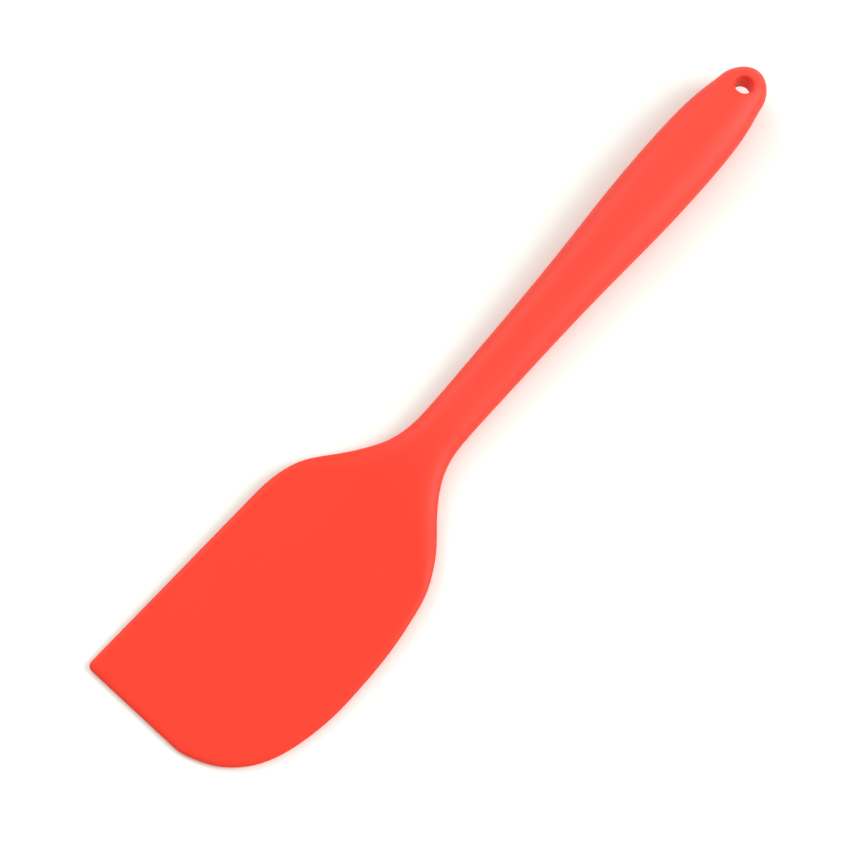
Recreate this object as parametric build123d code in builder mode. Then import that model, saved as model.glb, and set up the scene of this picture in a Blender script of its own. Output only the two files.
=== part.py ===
from build123d import *
import os
from math import atan2, cos, degrees, pi, radians, sin, sqrt, tan

# A one-piece silicone spatula: a seamless silicone skin moulded over a stiff nylon core.
# The mould parts in the plane that splits the tool into an upper and a lower half. The tool is
# drawn lying in that plane: places are counted along it from the end of the handle, reaches
# across it from its axis, and heights from the plane. Then it is laid on the ground, where the
# handle and the tip of the blade touch z = 0. +X points at the blade's tip, and the straight
# side of the blade is on the -Y side.

os.makedirs("parts", exist_ok=True)

# Driving dimensions, in millimetres. The first ones are those of the outer skin.
handle_length = 152.0      # end of the handle to the slimmest place of the neck
blade_length = 128.0       # slimmest place of the neck to the blade's tip
nose_width = 14.6          # what the handle tapers towards at its very end, before rounding
nose_thick = 9.8
nose_length = 9.0          # length over which the end of the handle is rounded
end_width = 16.9           # handle where that rounding starts
end_thick = 11.4
belly_width = 22.6         # handle at its fullest
belly_thick = 14.0
neck_width = 15.4          # handle at its slimmest
neck_thick = 8.8
straight_reach = 32.8      # axis to the far corner of the straight side
curved_reach = 33.0        # axis to the fullest place of the curved side
far_corner_round = 2.0
plateau_width = 19.0       # flat middle of the blade, over the core's tongue
edge_thick = 3.0           # blade near its long sides
edge_roll = 2.4            # how far in from the edge its rounding reaches
tip_thick = 2.2            # blade at its tip
tip_lean = 1.5             # degrees that the tip's straight edge leans from square to the axis
hang_bore = 6.0            # hanging hole through the end of the handle
hang_inset = 8.4           # its axis from the end of the handle
hang_rim = 1.4             # rounding of its rims

# The core inside the skin.
skin = 2.2                 # silicone over the core in the handle
hang_lining = 1.2          # silicone between the hanging hole and the core's eye
eye_wall = 1.8             # eye of the core, a ring round the hanging hole
eye_thick = 2.6
eye_root = 0.4             # how far out from the eye's bore the spine starts
eye_neck_width = 7.0       # core where the eye meets the spine
window_length = 17.0       # openings through the spine, where the upper and lower skin join
window_width = 6.0
window_start = 36.0        # first opening's centre from the end of the handle
window_stop = 38.0         # last opening's centre from the neck
window_count = 4
tongue_length = 78.0       # core past the neck, inside the blade
tongue_width = 15.0
tongue_thick = 1.6
tongue_cap = 8.0           # length over which the tongue's end is rounded
tongue_roll = 1.6          # how far in from the tongue's edge its rounding reaches
key_bore = 5.0             # holes through the tongue, where the upper and lower skin join
key_inset = 14.0           # last hole's centre from the tongue's end
key_pitch = 13.0
key_count = 4

# The handle: place along it, then how far its width and its thickness have gone from those of
# the end to those of the belly, and past the belly from those of the neck.
before_belly_shares = [(0.105, 0.45, 0.36), (0.171, 0.865, 0.72), (0.276, 1.0, 0.95)]
past_belly_shares = [
    (0.41, 0.875, 0.99), (0.56, 0.52, 0.80), (0.72, 0.24, 0.46), (0.88, 0.08, 0.13), (1.0, 0.0, 0.0)]
nose_section_count = 5

# The shoulders: place along the blade, then how far each side has gone from the neck to its reach.
straight_shoulder_shares = [
    (0.075, 0.023), (0.125, 0.096), (0.172, 0.229), (0.219, 0.402),
    (0.260, 0.577), (0.300, 0.725), (0.345, 0.819)]
curved_shoulder_shares = [
    (0.075, 0.033), (0.125, 0.122), (0.172, 0.265), (0.219, 0.452),
    (0.260, 0.618), (0.300, 0.742), (0.345, 0.846)]
straight_start_shares = (0.430, 0.885)    # where the straight side starts
curved_side_shares = [(0.420, 0.932), (0.510, 0.987), (0.610, 1.0), (0.711, 0.979), (0.785, 0.915)]

# The round corner between the curved side and the tip: place along the blade and share of the
# reach. The tip's straight edge ends at the last of these shares of the reach.
round_corner_shares = [(0.850, 0.860), (0.900, 0.762), (0.942, 0.622), (0.972, 0.457), (0.991, 0.275)]
tip_start_share = 0.10

# The blade gets thinner towards its tip with this power of the length that is left, and its
# edge has its own thickness from this share of its length on.
thin_power = 1.4
shoulder_share = 0.36

# Places of the sections that the skin is drawn over, and of the points across each.
blade_section_shares = [
    0.06, 0.11, 0.16, 0.21, 0.26, 0.31, 0.37, 0.44, 0.53, 0.63, 0.72, 0.79, 0.85, 0.89, 0.925, 0.95, 0.97]
tip_turn_shares = [0.80, 0.60, 0.38, 0.16]
across_turn_shares = [
    0.0, 0.045, 0.09, 0.155, 0.235, 0.325, 0.41, 0.5, 0.59, 0.675, 0.765, 0.845, 0.91, 0.955, 1.0]
middle_share = 0.5         # where a section's upper and lower lines are cut into two edges each

# The core's sections past the neck: place along the tongue up to its cap, and turn through its cap.
tongue_section_shares = [0.12, 0.25, 0.40, 0.60, 0.80, 1.0]
cap_turn_shares = [0.35, 0.60, 0.80, 0.94]
tongue_spread_share = 0.4  # share of the tongue over which it reaches its width
tongue_thin_power = 1.6    # its thickness falls with this power of the length that is left

overall_length = handle_length + blade_length
lean = tan(radians(tip_lean))
eye_bore = hang_bore + 2 * hang_lining


def mix(start, stop, share):
    """The value that lies share of the way from start to stop."""
    return start + (stop - start) * share


def ease(share):
    """Zero up to 0, one from 1 on, and a smooth step between."""
    share = min(max(share, 0), 1)
    return share * share * (3 - 2 * share)


def bulge(share):
    """Height of a quarter circle of radius 1 at this share of its width, and 1 past it."""
    return sqrt(1 - (1 - min(max(share, 0), 1)) ** 2)


def side_points(shares, reach, side):
    """Points of one side of the blade, from shares of the blade's length and of its reach."""
    points = []
    for place, share in shares:
        points.append((handle_length + blade_length * place, side * mix(neck_width / 2, reach, share)))
    return points


def section(place, start, stop, height):
    """A closed section, alike above and below the parting plane, from the reach start to the reach
    stop. height gives its upper line's height from a point's place and reach. Its four edges stay
    apart, so that a loft keeps its top, its bottom and its sides in line."""
    first = Vector(place + start * lean, start)
    chord = Vector(place + stop * lean, stop) - first
    upper = []
    for share in across_turn_shares:
        across = (1 - cos(pi * share)) / 2
        reach = mix(start, stop, across)
        upper.append((chord.length * across - chord.length / 2, height(place + reach * lean, reach)))
    upper[0] = (-chord.length / 2, 0)
    upper[-1] = (chord.length / 2, 0)
    lower = [(along, -high) for along, high in upper]
    rise = upper[1][1] / across_turn_shares[1]
    fall = upper[-2][1] / (1 - across_turn_shares[-2])
    over = Edge.make_spline(upper, [(0, rise), (0, -fall)], parameters=across_turn_shares, scale=False)
    under = Edge.make_spline(lower, [(0, -rise), (0, fall)], parameters=across_turn_shares, scale=False)
    straight_half = [over.trim(0, middle_share), under.trim(0, middle_share)]
    curved_half = [over.trim(middle_share, 1), under.trim(middle_share, 1)]
    outline = make_face([straight_half[0], *curved_half, straight_half[1]])
    return Plane(origin=first + chord / 2, x_dir=chord, z_dir=(1, -lean, 0)) * outline


def oval(place, width, thick, roll):
    """A section across the axis with rounded edges, an ellipse where the roll is half its width."""
    return section(
        place, -width / 2, width / 2, lambda along, reach: thick / 2 * bulge((width / 2 - abs(reach)) / roll)
    )


# The handle's stations: place, width and thickness. The rounded end follows quarter ellipses.
nose_stations = []
for step in range(1, nose_section_count + 1):
    turn = pi / 2 * step / nose_section_count
    share = 1 - cos(turn)
    width = mix(nose_width, end_width, share) * sin(turn)
    thick = mix(nose_thick, end_thick, share) * sin(turn)
    nose_stations.append((nose_length * share, width, thick))
grip_stations = []
for place, wide, deep in before_belly_shares:
    width = mix(end_width, belly_width, wide)
    thick = mix(end_thick, belly_thick, deep)
    grip_stations.append((handle_length * place, width, thick))
for place, wide, deep in past_belly_shares:
    width = mix(neck_width, belly_width, wide)
    thick = mix(neck_thick, belly_thick, deep)
    grip_stations.append((handle_length * place, width, thick))

# The blade's rim, seen square to the parting plane: from the neck along the straight side to the
# far corner, then along the tip and back to the neck round the curved side.
neck_straight = (handle_length, -neck_width / 2)
neck_curved = (handle_length, neck_width / 2)
straight_start = side_points([straight_start_shares], straight_reach, -1)[0]
far_corner = (overall_length - straight_reach * lean, -straight_reach)
tip_start = (overall_length + curved_reach * tip_start_share * lean, curved_reach * tip_start_share)
straight_way = (far_corner[0] - straight_start[0], far_corner[1] - straight_start[1])
with BuildLine() as rim_line:
    shoulder = [neck_straight, *side_points(straight_shoulder_shares, straight_reach, -1), straight_start]
    Spline(shoulder, tangents=[(1, 0), straight_way], tangent_scalars=[1, 1])
    FilletPolyline(straight_start, far_corner, tip_start, radius=far_corner_round)
    round_side = [neck_curved, *side_points(curved_shoulder_shares, curved_reach, 1)]
    round_side += side_points(curved_side_shares, curved_reach, 1)
    for place, share in round_corner_shares:
        round_side.append((handle_length + blade_length * place, curved_reach * share))
    Spline([*round_side, tip_start], tangents=[(1, 0), (-lean, -1)], tangent_scalars=[1, 1])
rim = rim_line.wire()


def span(place):
    """Reaches at which the section at this place crosses the rim, on the straight and the curved side."""
    across = Axis((place, 0, 0), (lean, 1, 0))
    found = []
    for edge in rim.edges():
        found += [point.Y for point in edge.find_intersection_points(across)]
    return min(found), max(found)


def blade_height(place, reach, half_span):
    """Height of the blade's skin: a flat middle that gets thinner towards the tip, bevels to both
    sides, and an edge whose rounding follows the distance to the rim."""
    along = min(max((place - handle_length) / blade_length, 0), 1)
    spine = mix(tip_thick, neck_thick, (1 - along) ** thin_power) / 2
    edge = mix(spine, mix(edge_thick, tip_thick, along) / 2, ease(along / shoulder_share))
    side = curved_reach if reach > 0 else straight_reach
    bevel = max(abs(reach) - plateau_width / 2, 0) / (side - plateau_width / 2)
    roll = mix(half_span, edge_roll, ease(along / shoulder_share))
    return mix(spine, min(edge, spine), min(bevel, 1)) * bulge(rim.distance_to((place, reach, 0)) / roll)


# The core: an eye round the hanging hole, a spine with windows through the handle, and a flat
# tongue with holes in the blade.
core_start = hang_inset + eye_bore / 2 + eye_root
core_sections = [oval(core_start, eye_neck_width, eye_thick, eye_neck_width / 2)]
for place, width, thick in grip_stations[1:]:
    core_sections.append(oval(place, width - 2 * skin, thick - 2 * skin, width / 2 - skin))


def tongue(along, cut):
    """The tongue's section at this length past the neck, its width cut to this share of the whole."""
    share = along / tongue_length
    width = mix(neck_width - 2 * skin, tongue_width, ease(share / tongue_spread_share))
    thick = mix(tongue_thick, neck_thick - 2 * skin, (1 - share) ** tongue_thin_power)
    roll = mix(width / 2, tongue_roll, ease(share / tongue_spread_share))
    return oval(handle_length + along, width * cut, thick, roll * cut)


cap_start = tongue_length - tongue_cap
for share in tongue_section_shares:
    core_sections.append(tongue(cap_start * share, 1))
for share in cap_turn_shares:
    turn = pi / 2 * share
    core_sections.append(tongue(cap_start + tongue_cap * sin(turn), cos(turn)))

window_pitch = (handle_length - window_start - window_stop) / (window_count - 1)
last_key = handle_length + tongue_length - key_inset
with BuildPart() as drawn_core:
    loft(sections=core_sections, clean=False)
    with BuildSketch() as eye:
        with Locations((hang_inset, 0)):
            Circle(eye_bore / 2 + eye_wall)
    extrude(amount=eye_thick / 2, both=True, clean=False)
    with BuildSketch() as openings:
        with Locations((hang_inset, 0)):
            Circle(eye_bore / 2)
        with Locations([(window_start + window_pitch * step, 0) for step in range(window_count)]):
            SlotOverall(window_length, window_width)
        with Locations([(last_key - key_pitch * step, 0) for step in range(key_count)]):
            Circle(key_bore / 2)
    extrude(amount=belly_thick, both=True, mode=Mode.SUBTRACT, clean=False)

# The skin, drawn over sections from the end of the handle to the tip. It has the hanging hole
# with rounded rims, and it closes round the core and through the core's openings.
skin_sections = []
for place, width, thick in nose_stations + grip_stations:
    skin_sections.append(oval(place, width, thick, width / 2))
blade_places = [handle_length + blade_length * share for share in blade_section_shares]
for share in tip_turn_shares:
    blade_places.append(overall_length - edge_roll * (1 - cos(pi / 2 * share)))
for place in blade_places:
    start, stop = span(place)
    half_span = (stop - start) / 2
    blade = section(place, start, stop, lambda along, reach: blade_height(along, reach, half_span))
    skin_sections.append(blade)

with BuildPart() as drawn_body:
    loft(sections=[Vertex(0, 0, 0), *skin_sections], clean=False)
    with BuildSketch() as hole:
        with Locations((hang_inset, 0)):
            Circle(hang_bore / 2)
    extrude(amount=belly_thick, both=True, mode=Mode.SUBTRACT, clean=False)
    wall = drawn_body.faces().filter_by(GeomType.CYLINDER)
    fillet(wall.edges().filter_by(GeomType.LINE, reverse=True), radius=hang_rim)
    add(drawn_core.part, mode=Mode.SUBTRACT, clean=False)

# At rest, the line from the tip to the lowest place of the handle lies on the ground, and the
# middle of the tool stands at the origin.
slope = max(atan2((thick - tip_thick) / 2, overall_length - place) for place, width, thick in grip_stations)
tilted = Rotation(0, degrees(slope), 0)
box = (tilted * drawn_body.part).bounding_box()
rest = Location((-box.center().X, -box.center().Y, -box.min.Z)) * tilted

with BuildPart() as handle_core:
    add(rest * drawn_core.part, clean=False)
handle_core.part.label = "handle_core"
export_step(handle_core.part, "parts/handle_core.step")

with BuildPart() as silicone_body:
    add(rest * drawn_body.part, clean=False)
silicone_body.part.label = "silicone_body"
export_step(silicone_body.part, "parts/silicone_body.step")
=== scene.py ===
import bmesh
import bpy
import numpy as np
from mathutils import Matrix, Vector


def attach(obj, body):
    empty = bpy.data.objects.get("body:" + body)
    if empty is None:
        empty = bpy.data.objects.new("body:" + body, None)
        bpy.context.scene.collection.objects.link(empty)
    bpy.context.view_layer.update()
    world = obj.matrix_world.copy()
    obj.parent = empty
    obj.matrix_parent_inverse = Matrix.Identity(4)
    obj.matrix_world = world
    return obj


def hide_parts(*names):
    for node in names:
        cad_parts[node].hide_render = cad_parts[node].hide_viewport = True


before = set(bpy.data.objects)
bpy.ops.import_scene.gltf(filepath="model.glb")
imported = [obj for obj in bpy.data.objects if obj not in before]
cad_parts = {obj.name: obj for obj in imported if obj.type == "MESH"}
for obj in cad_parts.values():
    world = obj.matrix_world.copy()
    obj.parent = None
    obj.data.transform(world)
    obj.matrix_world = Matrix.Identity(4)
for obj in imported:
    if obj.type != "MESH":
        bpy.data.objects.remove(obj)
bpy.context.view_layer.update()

# Skin. The real piece is one moulding of matt red silicone that covers the whole spatula, from
# the rounded end of the handle with its hanging hole to the thin blade. It is pressed in a two-part
# mould round a stiff core, so it has no joint, and every edge of it is softly rounded.

mm = 0.001
handle_length = 152.0
blade_length = 128.0
tip_inset, height_shrink = 0.08, 0.998      # these keep the skin's facets inside the solid
tip_place = handle_length + blade_length - tip_inset
rest_slope = np.radians(1.5813)             # its lean, lying on the handle and the tip
butt_place = np.array([-139.967, -0.146, 8.837])        # where the end of the handle lies

nose_length = 9.0
nose_width, nose_thick = 14.6, 9.8
end_width, end_thick = 16.9, 11.4
belly_width, belly_thick = 22.6, 14.0
neck_width, neck_thick = 15.4, 8.8
# Stations of the handle: shares of its length, and of the way from the end's width and thickness,
# or past the belly from the neck's, to the belly's.
before_belly = np.array([(0.105, 0.45, 0.36), (0.171, 0.865, 0.72), (0.276, 1.0, 0.95)])
past_belly = np.array([
    (0.41, 0.875, 0.99), (0.56, 0.52, 0.80), (0.72, 0.24, 0.46), (0.88, 0.08, 0.13),
    (1.0, 0.0, 0.0)])

straight_reach, curved_reach = 32.8, 33.0
far_corner_round = 2.0
tip_lean = np.tan(np.radians(1.5))
# Points of the blade's sides: shares of its length, and of the way from the neck's side to the
# side's reach. On the round corner the second is a share of the whole reach.
straight_shoulder = np.array([
    (0.0, 0.0), (0.075, 0.023), (0.125, 0.096), (0.172, 0.229), (0.219, 0.402),
    (0.260, 0.577), (0.300, 0.725), (0.345, 0.819), (0.430, 0.885)])
curved_side = np.array([
    (0.0, 0.0), (0.075, 0.033), (0.125, 0.122), (0.172, 0.265), (0.219, 0.452), (0.260, 0.618),
    (0.300, 0.742), (0.345, 0.846), (0.420, 0.932), (0.510, 0.987), (0.610, 1.0), (0.711, 0.979),
    (0.785, 0.915)])
round_corner = np.array([
    (0.850, 0.860), (0.900, 0.762), (0.942, 0.622), (0.972, 0.457), (0.991, 0.275)])
tip_start_share = 0.10

plateau_width = 19.0
edge_thick, tip_thick = 3.0, 2.2
edge_roll = 2.4
thin_power = 1.4
shoulder_share = 0.36

hang_radius, hang_inset, hang_rim = 3.0, 8.4, 1.4
nose_join = 19.0                            # where the mesh round the hole meets the handle's

handle_rows, blade_rows, half_columns = 120, 250, 36
rim_turns, wall_rows, face_rows, nose_steps, join_steps = 10, 8, 26, 19, 16
side_count, edge_count, corner_count, curve_count = 400, 80, 33, 700    # points along the rim
straight_run_count, curved_run_count = 380, 500     # the points whose places only grow
corner_stretch, corner_density = 4.0, 5.0   # the rows are denser over this length at the corner
axis_slowing = 0.43                         # rows' starts on the axis come closer towards the tip
block_size, least_width = 2000, 1e-9        # points measured at once, and a guard against zero


def mix(start, stop, share):
    """start, plus the share of the way to stop."""
    return start + (stop - start) * share


def ease(share):
    """Zero up to 0, one from 1 on, and three squares less two cubes of the share between."""
    share = np.clip(share, 0, 1)
    return share * share * (3 - 2 * share)


def bulge(share):
    """Height of a quarter circle of radius 1 over this share of its width, and 1 past it."""
    return np.sqrt(np.clip(1 - (1 - np.clip(share, 0, 1)) ** 2, 0, 1))


def smooth_line(knots, values, start_slope, stop_slope, at):
    """Values at the places in at, on the line through the knots that is a cubic between each two of
    them and whose slope and bend are continuous. The slopes at the knots solve the usual
    three-term equations, with the first and the last slope given."""
    column = (-1,) + (1,) * (values.ndim - 1)
    step = np.diff(knots)
    wide = step.reshape(column)
    rise = np.diff(values, axis=0) / wide
    count = len(knots)
    system = np.eye(count)
    right = np.zeros(values.shape)
    right[0], right[-1] = start_slope, stop_slope
    inner = np.arange(1, count - 1)
    system[inner, inner - 1] = step[1:]
    system[inner, inner] = 2 * (step[:-1] + step[1:])
    system[inner, inner + 1] = step[:-1]
    right[inner] = 3 * (wide[1:] * rise[:-1] + wide[:-1] * rise[1:])
    slopes = np.linalg.solve(system, right)
    cell = np.clip(np.searchsorted(knots, at) - 1, 0, count - 2)
    width = wide[cell]
    share = (at - knots[cell]).reshape(column) / width
    return (
        values[cell] * (1 + 2 * share) * (1 - share) ** 2
        + slopes[cell] * width * share * (1 - share) ** 2
        + values[cell + 1] * (3 - 2 * share) * share ** 2
        + slopes[cell + 1] * width * share ** 2 * (share - 1))


def smooth_path(points, start_way, stop_way, count):
    """count points on the smooth line through the points, which leaves the first along start_way
    and reaches the last along stop_way. Its parameter is the length of the chords."""
    along = np.concatenate([[0], np.cumsum(np.hypot(*np.diff(points, axis=0).T))])
    start_way = np.array(start_way) / np.hypot(*start_way)
    stop_way = np.array(stop_way) / np.hypot(*stop_way)
    return smooth_line(along, points, start_way, stop_way, np.linspace(0, along[-1], count))


def handle_size(place):
    """Width and thickness of the handle at a place. Over the rounded end each is a slowly growing
    size times the height of a quarter circle, and past it a smooth line through the stations."""
    share = np.clip(place / nose_length, 0, 1)
    past_nose = np.clip(place, nose_length, handle_length)
    knots = np.concatenate([
        [nose_length], handle_length * before_belly[:, 0], handle_length * past_belly[:, 0]])
    sizes = []
    for nose, end, belly, neck, column in (
            (nose_width, end_width, belly_width, neck_width, 1),
            (nose_thick, end_thick, belly_thick, neck_thick, 2)):
        before = mix(end, belly, before_belly[:, column])
        past = mix(neck, belly, past_belly[:, column])
        values = np.concatenate([[end], before, past])
        grip = smooth_line(knots, values, (end - nose) / nose_length, 0.0, past_nose)
        sizes.append(np.where(place < nose_length, mix(nose, end, share) * bulge(share), grip))
    return sizes


def side_points(shares, reach, side):
    """Points of one side of the blade, from shares of its length and of its reach past the neck."""
    places = handle_length + blade_length * shares[:, 0]
    return np.stack([places, side * mix(neck_width / 2, reach, shares[:, 1])], 1)


# The rim of the blade in its parting plane: each side's line runs from the neck to the place where
# the tip's straight edge starts, next to the round corner.
tip_start_reach = curved_reach * tip_start_share
tip_start = np.array([tip_place + tip_start_reach * tip_lean, tip_start_reach])
far_corner = np.array([tip_place - straight_reach * tip_lean, -straight_reach])
straight_line = side_points(straight_shoulder, straight_reach, -1)
straight_way = far_corner - straight_line[-1]
straight_way /= np.hypot(*straight_way)
tip_way = tip_start - far_corner
tip_way /= np.hypot(*tip_way)
half_turn = (np.arctan2(*tip_way[::-1]) - np.arctan2(*straight_way[::-1])) / 2
corner_cut = far_corner_round * np.tan(half_turn)
inward = np.array([-straight_way[1], straight_way[0]])
corner_middle = far_corner - straight_way * corner_cut + far_corner_round * inward
turns = np.linspace(0, 2 * half_turn, corner_count)
turns += np.arctan2(-straight_way[0], straight_way[1])
corner_arc = corner_middle + far_corner_round * np.stack([np.cos(turns), np.sin(turns)], 1)
edge_shares = np.linspace(0, 1, edge_count)[1:, None]
straight_rim = np.concatenate([
    smooth_path(straight_line, (1, 0), straight_way, side_count),
    mix(straight_line[-1], corner_arc[0], edge_shares[:-1]),
    corner_arc,
    mix(corner_arc[-1], tip_start, edge_shares)])
corner_line = round_corner * (blade_length, curved_reach) + (handle_length, 0)
curved_line = np.concatenate([
    side_points(curved_side, curved_reach, 1), corner_line, [tip_start]])
curved_rim = smooth_path(curved_line, (1, 0), (-tip_lean, -1), curve_count)
rim_loop = np.concatenate([straight_rim, curved_rim[::-1][1:]])
straight_run, curved_run = straight_rim[:straight_run_count].T, curved_rim[:curved_run_count].T


def rim_distance(points):
    """Distance of each point to the rim: the least distance to any of its short straight pieces."""
    start, chord = rim_loop[:-1], np.diff(rim_loop, axis=0)
    square = (chord ** 2).sum(1)
    found = []
    for some in np.array_split(points, max(1, len(points) // block_size)):
        gap = some[:, None] - start[None]
        share = np.clip((gap * chord).sum(2) / square, 0, 1)
        found.append(np.sqrt(((gap - share[..., None] * chord) ** 2).sum(2).min(1)))
    return np.concatenate(found)


def blade_height(points):
    """Half the blade's thickness at each point: a flat middle that thins towards the tip, a bevel to
    each side, and the height of a quarter circle over the distance to the rim."""
    place, reach = points.T
    along = np.clip((place - handle_length) / blade_length, 0, 1)
    spine = mix(tip_thick, neck_thick, (1 - along) ** thin_power) / 2
    edge = mix(spine, mix(edge_thick, tip_thick, along) / 2, ease(along / shoulder_share))
    side = np.where(reach > 0, curved_reach, straight_reach)
    bevel = np.clip((np.abs(reach) - plateau_width / 2) / (side - plateau_width / 2), 0, 1)
    half_span = (np.interp(place, *curved_run) - np.interp(place, *straight_run)) / 2
    roll = mix(half_span, edge_roll, ease(along / shoulder_share))
    return mix(spine, np.minimum(edge, spine), bevel) * bulge(rim_distance(points) / roll)


def handle_height(points):
    """Half the handle's thickness at each point, from an ellipse across it."""
    width, thick = handle_size(points[:, 0])
    share = np.clip(2 * np.abs(points[:, 1]) / np.maximum(width, least_width), 0, 1)
    return thick / 2 * np.sqrt(1 - share ** 2)


def spread_rows(path, count, dense):
    """count points on a path, and their lengths along it. Their density is 1, plus dense times a
    bell curve over the stretch nearest the far corner."""
    length = np.concatenate([[0], np.cumsum(np.hypot(*np.diff(path, axis=0).T))])
    corner_length = length[np.argmin(np.hypot(*(path - corner_middle).T))]
    bell = np.exp(-((length - corner_length) / corner_stretch) ** 2)
    steps = np.diff(length) * (1 + dense * (bell[1:] + bell[:-1]) / 2)
    weight = np.concatenate([[0], np.cumsum(steps)])
    at = np.interp(np.linspace(0, weight[-1], count), weight, length)
    return np.stack([np.interp(at, length, path[:, 0]), np.interp(at, length, path[:, 1])], 1), at


# The rows of the mesh run from the axis to the rim. On the handle they are square to the axis, and
# on the blade they fan out, so that they meet the tip's edge and both corners squarely.
turn = np.sin(np.linspace(0, np.pi / 2, half_columns + 1))
handle_places = np.linspace(nose_join, handle_length, handle_rows)
handle_half = handle_size(handle_places)[0] / 2
straight_nodes, straight_along = spread_rows(straight_rim, blade_rows, corner_density)
curved_nodes, curved_along = spread_rows(curved_rim, blade_rows, 0.0)
share = (straight_along / straight_along[-1] + curved_along / curved_along[-1]) / 2
rim_length = (straight_along[-1] + curved_along[-1]) / 2
axis_places = handle_length + rim_length * share * (1 - axis_slowing * share)
patches = []
for side, nodes in ((-1, straight_nodes), (1, curved_nodes)):
    flat = np.zeros((handle_rows, half_columns + 1, 2))
    flat[..., 0] = handle_places[:, None]
    flat[..., 1] = side * handle_half[:, None] * turn
    patches.append((side, flat, handle_height(flat.reshape(-1, 2)).reshape(flat.shape[:2])))
    start = np.stack([axis_places, np.zeros(blade_rows)], 1)
    flat = start[:, None] + (nodes - start)[:, None] * turn[None, :, None]
    high = blade_height(flat.reshape(-1, 2)).reshape(flat.shape[:2])
    high[0] = handle_height(flat[0])
    high[:, -1] = 0
    patches.append((side, flat, high))

# Round the hanging hole the rows run out from the hole to the end of the handle on one side, and to
# the first row of the handle's mesh on the other. Its rims are quarter circles.
swing = np.linspace(0, np.pi / 2, nose_steps)[1:]
nose_places = np.concatenate([
    nose_length * (1 - np.cos(swing)), np.linspace(nose_length, nose_join, join_steps)[1:]])
nose_half = handle_size(nose_places)[0] / 2
first_row = handle_half[0] * np.concatenate([-turn[-2::-1], turn[1:-1]])
nose_outline = np.concatenate([
    np.stack([nose_places, nose_half], 1)[::-1], [(0.0, 0.0)],
    np.stack([nose_places, -nose_half], 1),
    np.stack([np.full(len(first_row), nose_join), first_row], 1)])
nose_outline = np.concatenate([nose_outline, nose_outline[:1]])
middle = np.array([hang_inset, 0.0])
way = nose_outline - middle
far = np.hypot(*way.T)
way /= far[:, None]
roll_turn = np.linspace(0, np.pi / 2, rim_turns + 1)
rim_out = hang_radius + hang_rim * (1 - np.cos(roll_turn))
rim_drop = hang_rim * (1 - np.sin(roll_turn))
out = np.sin(np.linspace(0, np.pi / 2, face_rows + 1))[1:]
reach_out = np.concatenate([
    np.repeat(rim_out[:, None], len(far), 1), mix(rim_out[-1], far[None], out[:, None])])
drop = np.concatenate([rim_drop, np.zeros(face_rows)])
nose_flat = middle + way[None] * reach_out[..., None]
nose_high = handle_height(nose_flat.reshape(-1, 2)).reshape(nose_flat.shape[:2]) - drop[:, None]
nose_high[-1, :len(nose_places) * 2 + 1] = 0
nose_high[-1, -1] = 0


def grid(surface, flip):
    """Points and four-sided faces of a surface of rows by columns, turned over if flip is set."""
    rows, columns = surface.shape[:2]
    index = np.arange(rows * columns).reshape(rows, columns)
    corners = [index[:-1, :-1], index[1:, :-1], index[1:, 1:], index[:-1, 1:]]
    faces = np.stack(corners, -1).reshape(-1, 4)
    return surface.reshape(-1, 3), faces[:, ::-1] if flip else faces


def lay_down(points):
    """Points of the spatula, in millimetres, at their places in the frame, in metres: turned by
    the slope about the Y axis, and moved to where the end of the handle is."""
    x, y, z = points.T * [[1], [1], [height_shrink]]
    cosine, sine = np.cos(rest_slope), np.sin(rest_slope)
    turned = np.stack([x * cosine + z * sine, y, z * cosine - x * sine], 1)
    return (turned + butt_place) * mm


surfaces = []
for side, flat, high in patches + [(1, nose_flat, nose_high)]:
    for above in (1, -1):
        surface = np.concatenate([flat, above * high[..., None]], 2)
        surfaces.append(grid(surface, side * above > 0))
wall_high = mix(nose_high[0], -nose_high[0], np.linspace(0, 1, wall_rows + 1)[:, None])
wall_flat = np.repeat(nose_flat[:1], wall_rows + 1, 0)
surfaces.append(grid(np.concatenate([wall_flat, wall_high[..., None]], 2), False))

points, faces, first = [], [], 0
for some_points, some_faces in surfaces:
    points.append(some_points)
    faces.append(some_faces + first)
    first += len(some_points)
points, faces = lay_down(np.concatenate(points)), np.concatenate(faces)
skin_mesh = bpy.data.meshes.new("silicone_skin")
skin_mesh.from_pydata(points.tolist(), [], faces.tolist())
merge_gap, least_edge = 2e-6, 1e-7          # in metres
shell = bmesh.new()
shell.from_mesh(skin_mesh)
bmesh.ops.remove_doubles(shell, verts=shell.verts, dist=merge_gap)
bmesh.ops.dissolve_degenerate(shell, edges=shell.edges, dist=least_edge)
bmesh.ops.recalc_face_normals(shell, faces=shell.faces)
shell.to_mesh(skin_mesh)
shell.free()
skin_mesh.polygons.foreach_set("use_smooth", np.ones(len(skin_mesh.polygons), bool))
skin = bpy.data.objects.new("silicone_skin", skin_mesh)
bpy.context.scene.collection.objects.link(skin)


def new_group(name, inputs, outputs):
    """An empty shader node group with sockets of the given names, kinds and default values."""
    group = bpy.data.node_groups.new(name, "ShaderNodeTree")
    for label, kind, value in inputs:
        socket = group.interface.new_socket(label, in_out="INPUT", socket_type=kind)
        if value is not None:
            socket.default_value = value
    for label, kind in outputs:
        group.interface.new_socket(label, in_out="OUTPUT", socket_type=kind)
    return group, group.nodes.new("NodeGroupInput"), group.nodes.new("NodeGroupOutput")


def math_node(nodes, link, operation, *given):
    """The result of a new math node, whose inputs are linked to the given sockets or set to the
    given numbers."""
    node = nodes.new("ShaderNodeMath")
    node.operation = operation
    for socket, value in zip(node.inputs, given):
        if isinstance(value, float):
            socket.default_value = value
        else:
            link(value, socket)
    return node.outputs[0]


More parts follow.
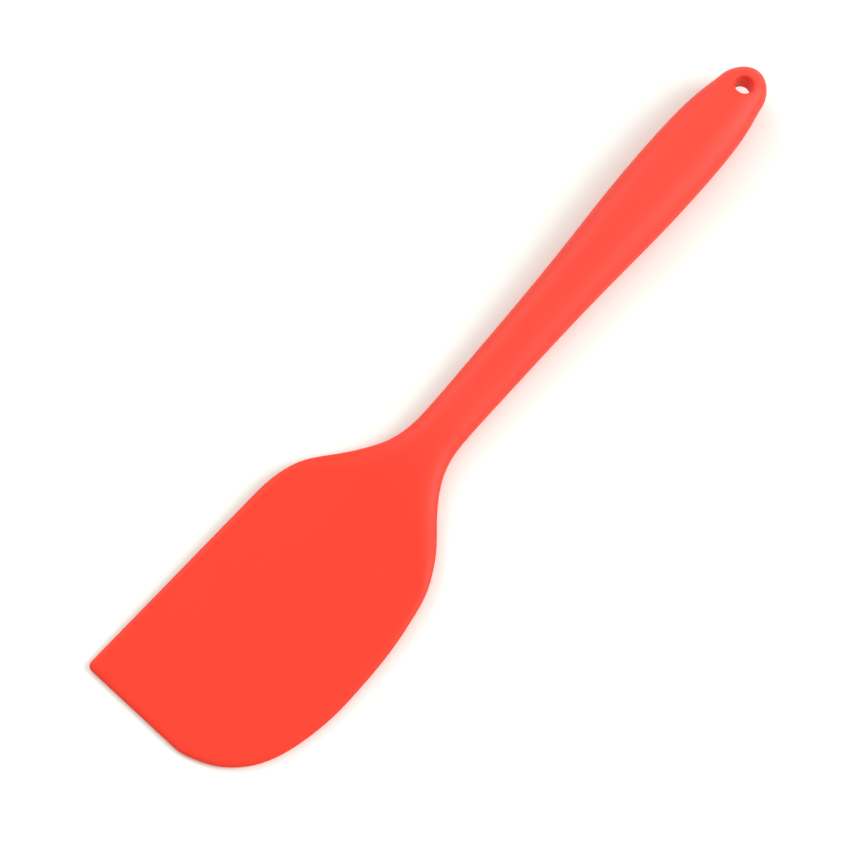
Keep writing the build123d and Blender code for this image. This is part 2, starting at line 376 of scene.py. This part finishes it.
def moulded_grain():
    """Grain of a moulded surface. Its relief is a fine noise. The sum of the fine and a broad noise,
    less 1, swings round zero: times the spread it is added to the roughness, and times the tone it
    is added to 1, which the base colour is multiplied by."""
    group, given, made = new_group(
        "moulded_grain",
        [("Place", "NodeSocketVector", None), ("Fine Scale", "NodeSocketFloat", 900.0),
         ("Broad Scale", "NodeSocketFloat", 30.0), ("Tone", "NodeSocketFloat", 0.05),
         ("Base", "NodeSocketColor", (0.8, 0.8, 0.8, 1.0)), ("Roughness", "NodeSocketFloat", 0.5),
         ("Spread", "NodeSocketFloat", 0.05)],
        [("Color", "NodeSocketColor"), ("Roughness", "NodeSocketFloat"),
         ("Relief", "NodeSocketFloat")])
    nodes, link = group.nodes, group.links.new
    noises = []
    for scale, detail in (("Fine Scale", 3.0), ("Broad Scale", 2.0)):
        noise = nodes.new("ShaderNodeTexNoise")
        noise.inputs["Detail"].default_value = detail
        link(given.outputs["Place"], noise.inputs["Vector"])
        link(given.outputs[scale], noise.inputs["Scale"])
        noises.append(noise.outputs["Fac"])
    fine, broad = noises
    swing = math_node(nodes, link, "SUBTRACT", math_node(nodes, link, "ADD", fine, broad), 1.0)
    rough = math_node(
        nodes, link, "MULTIPLY_ADD", swing, given.outputs["Spread"], given.outputs["Roughness"])
    tone = math_node(nodes, link, "MULTIPLY_ADD", swing, given.outputs["Tone"], 1.0)
    shade = nodes.new("ShaderNodeVectorMath")
    shade.operation = "SCALE"
    link(given.outputs["Base"], shade.inputs[0])
    link(tone, shade.inputs["Scale"])
    link(shade.outputs[0], made.inputs["Color"])
    link(rough, made.inputs["Roughness"])
    link(fine, made.inputs["Relief"])
    return group


grain = moulded_grain()


def moulded_material(
        name, base, roughness, spread, tone, fine_scale, broad_scale, relief, settings):
    """A material whose colour, roughness and relief come from the grain group at Object coordinates,
    and whose other settings stand on the shader's own sockets. Spread is the change of roughness
    and tone the change of colour over the grain, and relief is the grain's height in metres."""
    material = bpy.data.materials.new(name)
    material.use_nodes = True
    nodes, link = material.node_tree.nodes, material.node_tree.links.new
    shader = nodes["Principled BSDF"]
    place = nodes.new("ShaderNodeTexCoord")
    surface = nodes.new("ShaderNodeGroup")
    surface.node_tree = grain
    link(place.outputs["Object"], surface.inputs["Place"])
    for label, value in (
            ("Fine Scale", fine_scale), ("Broad Scale", broad_scale), ("Tone", tone),
            ("Base", (*base, 1.0)), ("Roughness", roughness), ("Spread", spread)):
        surface.inputs[label].default_value = value
    bump = nodes.new("ShaderNodeBump")
    bump.inputs["Strength"].default_value = 1.0
    bump.inputs["Distance"].default_value = relief
    link(surface.outputs["Relief"], bump.inputs["Height"])
    link(bump.outputs["Normal"], shader.inputs["Normal"])
    link(surface.outputs["Color"], shader.inputs["Base Color"])
    link(surface.outputs["Roughness"], shader.inputs["Roughness"])
    for label, value in settings.items():
        shader.inputs[label].default_value = value
    return material


silicone = moulded_material(
    "red_silicone", base=(0.92, 0.043, 0.018), roughness=0.50, spread=0.10, tone=0.06,
    fine_scale=1400.0, broad_scale=26.0, relief=0.000012,
    settings={"IOR": 1.41, "Specular IOR Level": 0.4})

# Painted sheen: the handle's base colour is made a little paler than the blade's, standing in for
# the sheen of light on it. The change runs over the neck, between two places on the X axis.
painted_sheen_base = (0.92, 0.060, 0.034, 1.0)
neck_start, neck_stop = 0.004, 0.042
silicone_nodes, silicone_link = silicone.node_tree.nodes, silicone.node_tree.links.new
neck_place = silicone_nodes.new("ShaderNodeSeparateXYZ")
silicone_link(silicone_nodes["Texture Coordinate"].outputs["Object"], neck_place.inputs[0])
neck_sheen_change = silicone_nodes.new("ShaderNodeMapRange")
neck_sheen_change.interpolation_type = "SMOOTHSTEP"
neck_sheen_change.inputs["From Min"].default_value = neck_start
neck_sheen_change.inputs["From Max"].default_value = neck_stop
silicone_link(neck_place.outputs["X"], neck_sheen_change.inputs["Value"])
# mixes the handle's paler colour in over the neck: painted sheen
painted_sheen_mix = silicone_nodes.new("ShaderNodeMixRGB")
painted_sheen_mix.inputs[1].default_value = painted_sheen_base
painted_sheen_mix.inputs[2].default_value = silicone_nodes["Group"].inputs["Base"].default_value
silicone_link(neck_sheen_change.outputs["Result"], painted_sheen_mix.inputs["Fac"])
silicone_link(painted_sheen_mix.outputs[0], silicone_nodes["Group"].inputs["Base"])
skin_mesh.materials.append(silicone)
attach(skin, "root")
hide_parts("silicone_body")

# Core. The real piece is a stiff moulding of pale glass-filled nylon: an eye round the hanging
# hole, a spine with windows and a flat tongue. The silicone is moulded right over it, so it stays
# out of sight.

nylon = moulded_material(
    "pale_nylon", base=(0.64, 0.60, 0.52), roughness=0.45, spread=0.10, tone=0.10,
    fine_scale=700.0, broad_scale=60.0, relief=0.00002, settings={"IOR": 1.53})
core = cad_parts["handle_core"]
core.data.materials.clear()
core.data.materials.append(nylon)

# Table. A plain white sheet lies under the spatula. It keeps the spatula's shadow, and the camera
# sees it as white wherever nothing shades it.

sheet_half = 3.0
plain_white = (0.80, 0.80, 0.80, 1.0)
seen_white = (0.98, 1.02, 0.96, 1.0)        # takes some red out of the shadows that are seen


def join_by_ray(nodes, link, plain, seen, output):
    """Links two shaders to the output: seen for the camera, glossy and transmission rays, which show
    a thing as it is, and plain for the others. The share is the greatest of the three ray values."""
    path = nodes.new("ShaderNodeLightPath")
    share = path.outputs["Is Camera Ray"]
    for name in ("Is Glossy Ray", "Is Transmission Ray"):
        share = math_node(nodes, link, "MAXIMUM", share, path.outputs[name])
    pick = nodes.new("ShaderNodeMixShader")
    link(share, pick.inputs["Fac"])
    link(plain.outputs[0], pick.inputs[1])
    link(seen.outputs[0], pick.inputs[2])
    link(pick.outputs[0], nodes[output].inputs["Surface"])


sheet_mesh = bpy.data.meshes.new("table")
sheet_corners = [
    (x * sheet_half, y * sheet_half, 0.0) for x, y in ((-1, -1), (1, -1), (1, 1), (-1, 1))]
sheet_mesh.from_pydata(sheet_corners, [], [(0, 1, 2, 3)])
table = bpy.data.objects.new("table", sheet_mesh)
bpy.context.scene.collection.objects.link(table)
paper = bpy.data.materials.new("white_paper")
paper.use_nodes = True
paper_nodes = paper.node_tree.nodes
paper_nodes.remove(paper_nodes["Principled BSDF"])
paper_plain = paper_nodes.new("ShaderNodeBsdfDiffuse")
paper_plain.inputs["Color"].default_value = plain_white
paper_seen = paper_nodes.new("ShaderNodeBsdfDiffuse")
paper_seen.inputs["Color"].default_value = seen_white
join_by_ray(paper_nodes, paper.node_tree.links.new, paper_plain, paper_seen, "Material Output")
sheet_mesh.materials.append(paper)

# Studio. The room gives most of the light, evenly from above and less towards the horizon. A big
# soft lamp to the right of the picture brightens the rounded edges on its side, and a weaker one
# stands at the upper left. The camera has the photograph's angle and distance.

camera_tilt = np.radians(16.0)              # from straight down
camera_heading = np.radians(215.563)        # the way it leans, from +X towards +Y
camera_roll = np.radians(5.2)
camera_distance = 0.6868
sensor_width, focal_length = 36.0, 94.737   # in millimetres
clip_near, clip_far = 0.01, 20.0
lamp_size, lamp_distance = 5.0, 9.0
aim = Vector((0.01648, -0.00555, 0.0))
half_pixel = 0.0001535                      # shifts the picture, in metres at the aim
heading = Vector((np.cos(camera_heading), np.sin(camera_heading), 0))
down = Vector((0, 0, -1))
forward = heading * np.sin(camera_tilt) + down * np.cos(camera_tilt)
level_up = heading * np.cos(camera_tilt) - down * np.sin(camera_tilt)
level_right = forward.cross(level_up)
picture_right = level_right * np.cos(camera_roll) + level_up * np.sin(camera_roll)
picture_up = level_up * np.cos(camera_roll) - level_right * np.sin(camera_roll)
camera_data = bpy.data.cameras.new("camera")
camera_data.sensor_width = sensor_width
camera_data.lens = focal_length
camera_data.clip_start = clip_near
camera_data.clip_end = clip_far
camera = bpy.data.objects.new("camera", camera_data)
camera_place = aim - forward * camera_distance + (picture_up - picture_right) * half_pixel
camera_axes = Matrix((picture_right, picture_up, -forward)).transposed().to_4x4()
camera.matrix_world = Matrix.Translation(camera_place) @ camera_axes
bpy.context.scene.collection.objects.link(camera)
bpy.context.scene.camera = camera


def soft_lamp(name, turn, rise, power):
    """A square lamp far from the aim and facing it. Its direction is turned from the picture's right
    towards the picture's top, and raised over the table, both in degrees."""
    flat_right = Vector((picture_right.x, picture_right.y, 0)).normalized()
    flat_up = Vector((picture_up.x, picture_up.y, 0)).normalized()
    turn, rise = np.radians(turn), np.radians(rise)
    level = (flat_right * np.cos(turn) + flat_up * np.sin(turn)) * np.cos(rise)
    direction = level + Vector((0, 0, np.sin(rise)))
    data = bpy.data.lights.new(name, "AREA")
    data.shape = "SQUARE"
    data.size = lamp_size
    data.energy = power
    lamp = bpy.data.objects.new(name, data)
    facing = direction.to_track_quat("Z", "Y").to_matrix().to_4x4()
    lamp.matrix_world = Matrix.Translation(aim + direction * lamp_distance) @ facing
    bpy.context.scene.collection.objects.link(lamp)


soft_lamp("right_lamp", turn=0.0, rise=32.0, power=520.0)
soft_lamp("upper_left_lamp", turn=130.0, rise=32.0, power=260.0)
world = bpy.data.worlds.new("room")
bpy.context.scene.world = world
world.use_nodes = True
room_nodes, room_link = world.node_tree.nodes, world.node_tree.links.new
room_place = room_nodes.new("ShaderNodeTexCoord")
room_axes = room_nodes.new("ShaderNodeSeparateXYZ")
room_light = room_nodes.new("ShaderNodeValToRGB")
room_link(room_place.outputs["Generated"], room_axes.inputs[0])
room_link(room_axes.outputs["Z"], room_light.inputs["Fac"])
ramp = room_light.color_ramp
ramp.interpolation = "EASE"
levels = ((0.0, 0.0), (0.12, 0.1), (0.5, 0.78), (1.0, 0.78))    # height over the horizon, light
while len(ramp.elements) < len(levels):
    ramp.elements.new(0.5)
for element, (height, level) in zip(ramp.elements, levels):
    element.position = height
    element.color = (level, level, level, 1.0)
room_lit = room_nodes["Background"]
room_link(room_light.outputs["Color"], room_lit.inputs["Color"])
room_white = room_nodes.new("ShaderNodeBackground")
room_white.inputs["Color"].default_value = (1.0, 1.0, 1.0, 1.0)
room_white.inputs["Strength"].default_value = 1.0
join_by_ray(room_nodes, room_link, room_lit, room_white, "World Output")

bpy.context.scene.view_settings.view_transform = "Standard"
